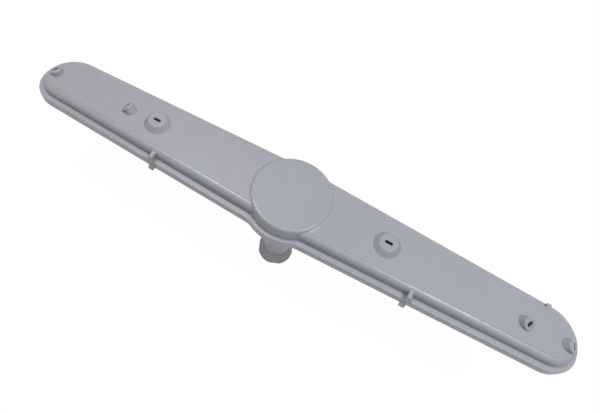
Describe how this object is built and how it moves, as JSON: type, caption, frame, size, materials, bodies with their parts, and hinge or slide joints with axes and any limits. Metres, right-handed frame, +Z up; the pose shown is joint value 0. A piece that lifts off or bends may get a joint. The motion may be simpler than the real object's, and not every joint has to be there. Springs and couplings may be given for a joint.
{
  "type": "dishwasher spray arm",
  "caption": "Hollow moulded arm that spins on its feed stem and sprays washing water up through slotted nozzles.",
  "frame": {"origin": "on the axis the arm turns about, at the foot of the bearing ring, where the feed pipe enters its socket and the arm stands on a table", "axes": "+X along the arm to the end whose leaning nozzle is farther from the hub, +Y to the side away from the two ribs, +Z up the axis, the way the nozzles spray"},
  "size_m": [0.46, 0.0726, 0.1117],
  "materials": {
    "upper_shell": "satin moulded polypropylene",
    "lower_shell": "satin moulded polypropylene",
    "bearing_ring": "satin moulded polypropylene"
  },
  "bodies": {
    "bearing": {"bearing_ring": "bearing_ring"},
    "arm": {"upper_shell": "upper_shell", "lower_shell": "lower_shell"}
  },
  "joints": [
    {"name": "arm_spin", "type": "hinge", "parent": "bearing", "child": "arm", "pos_m": [0, 0, 0.0085], "axis": [0, 0, 1], "continuous": true}
  ]
}
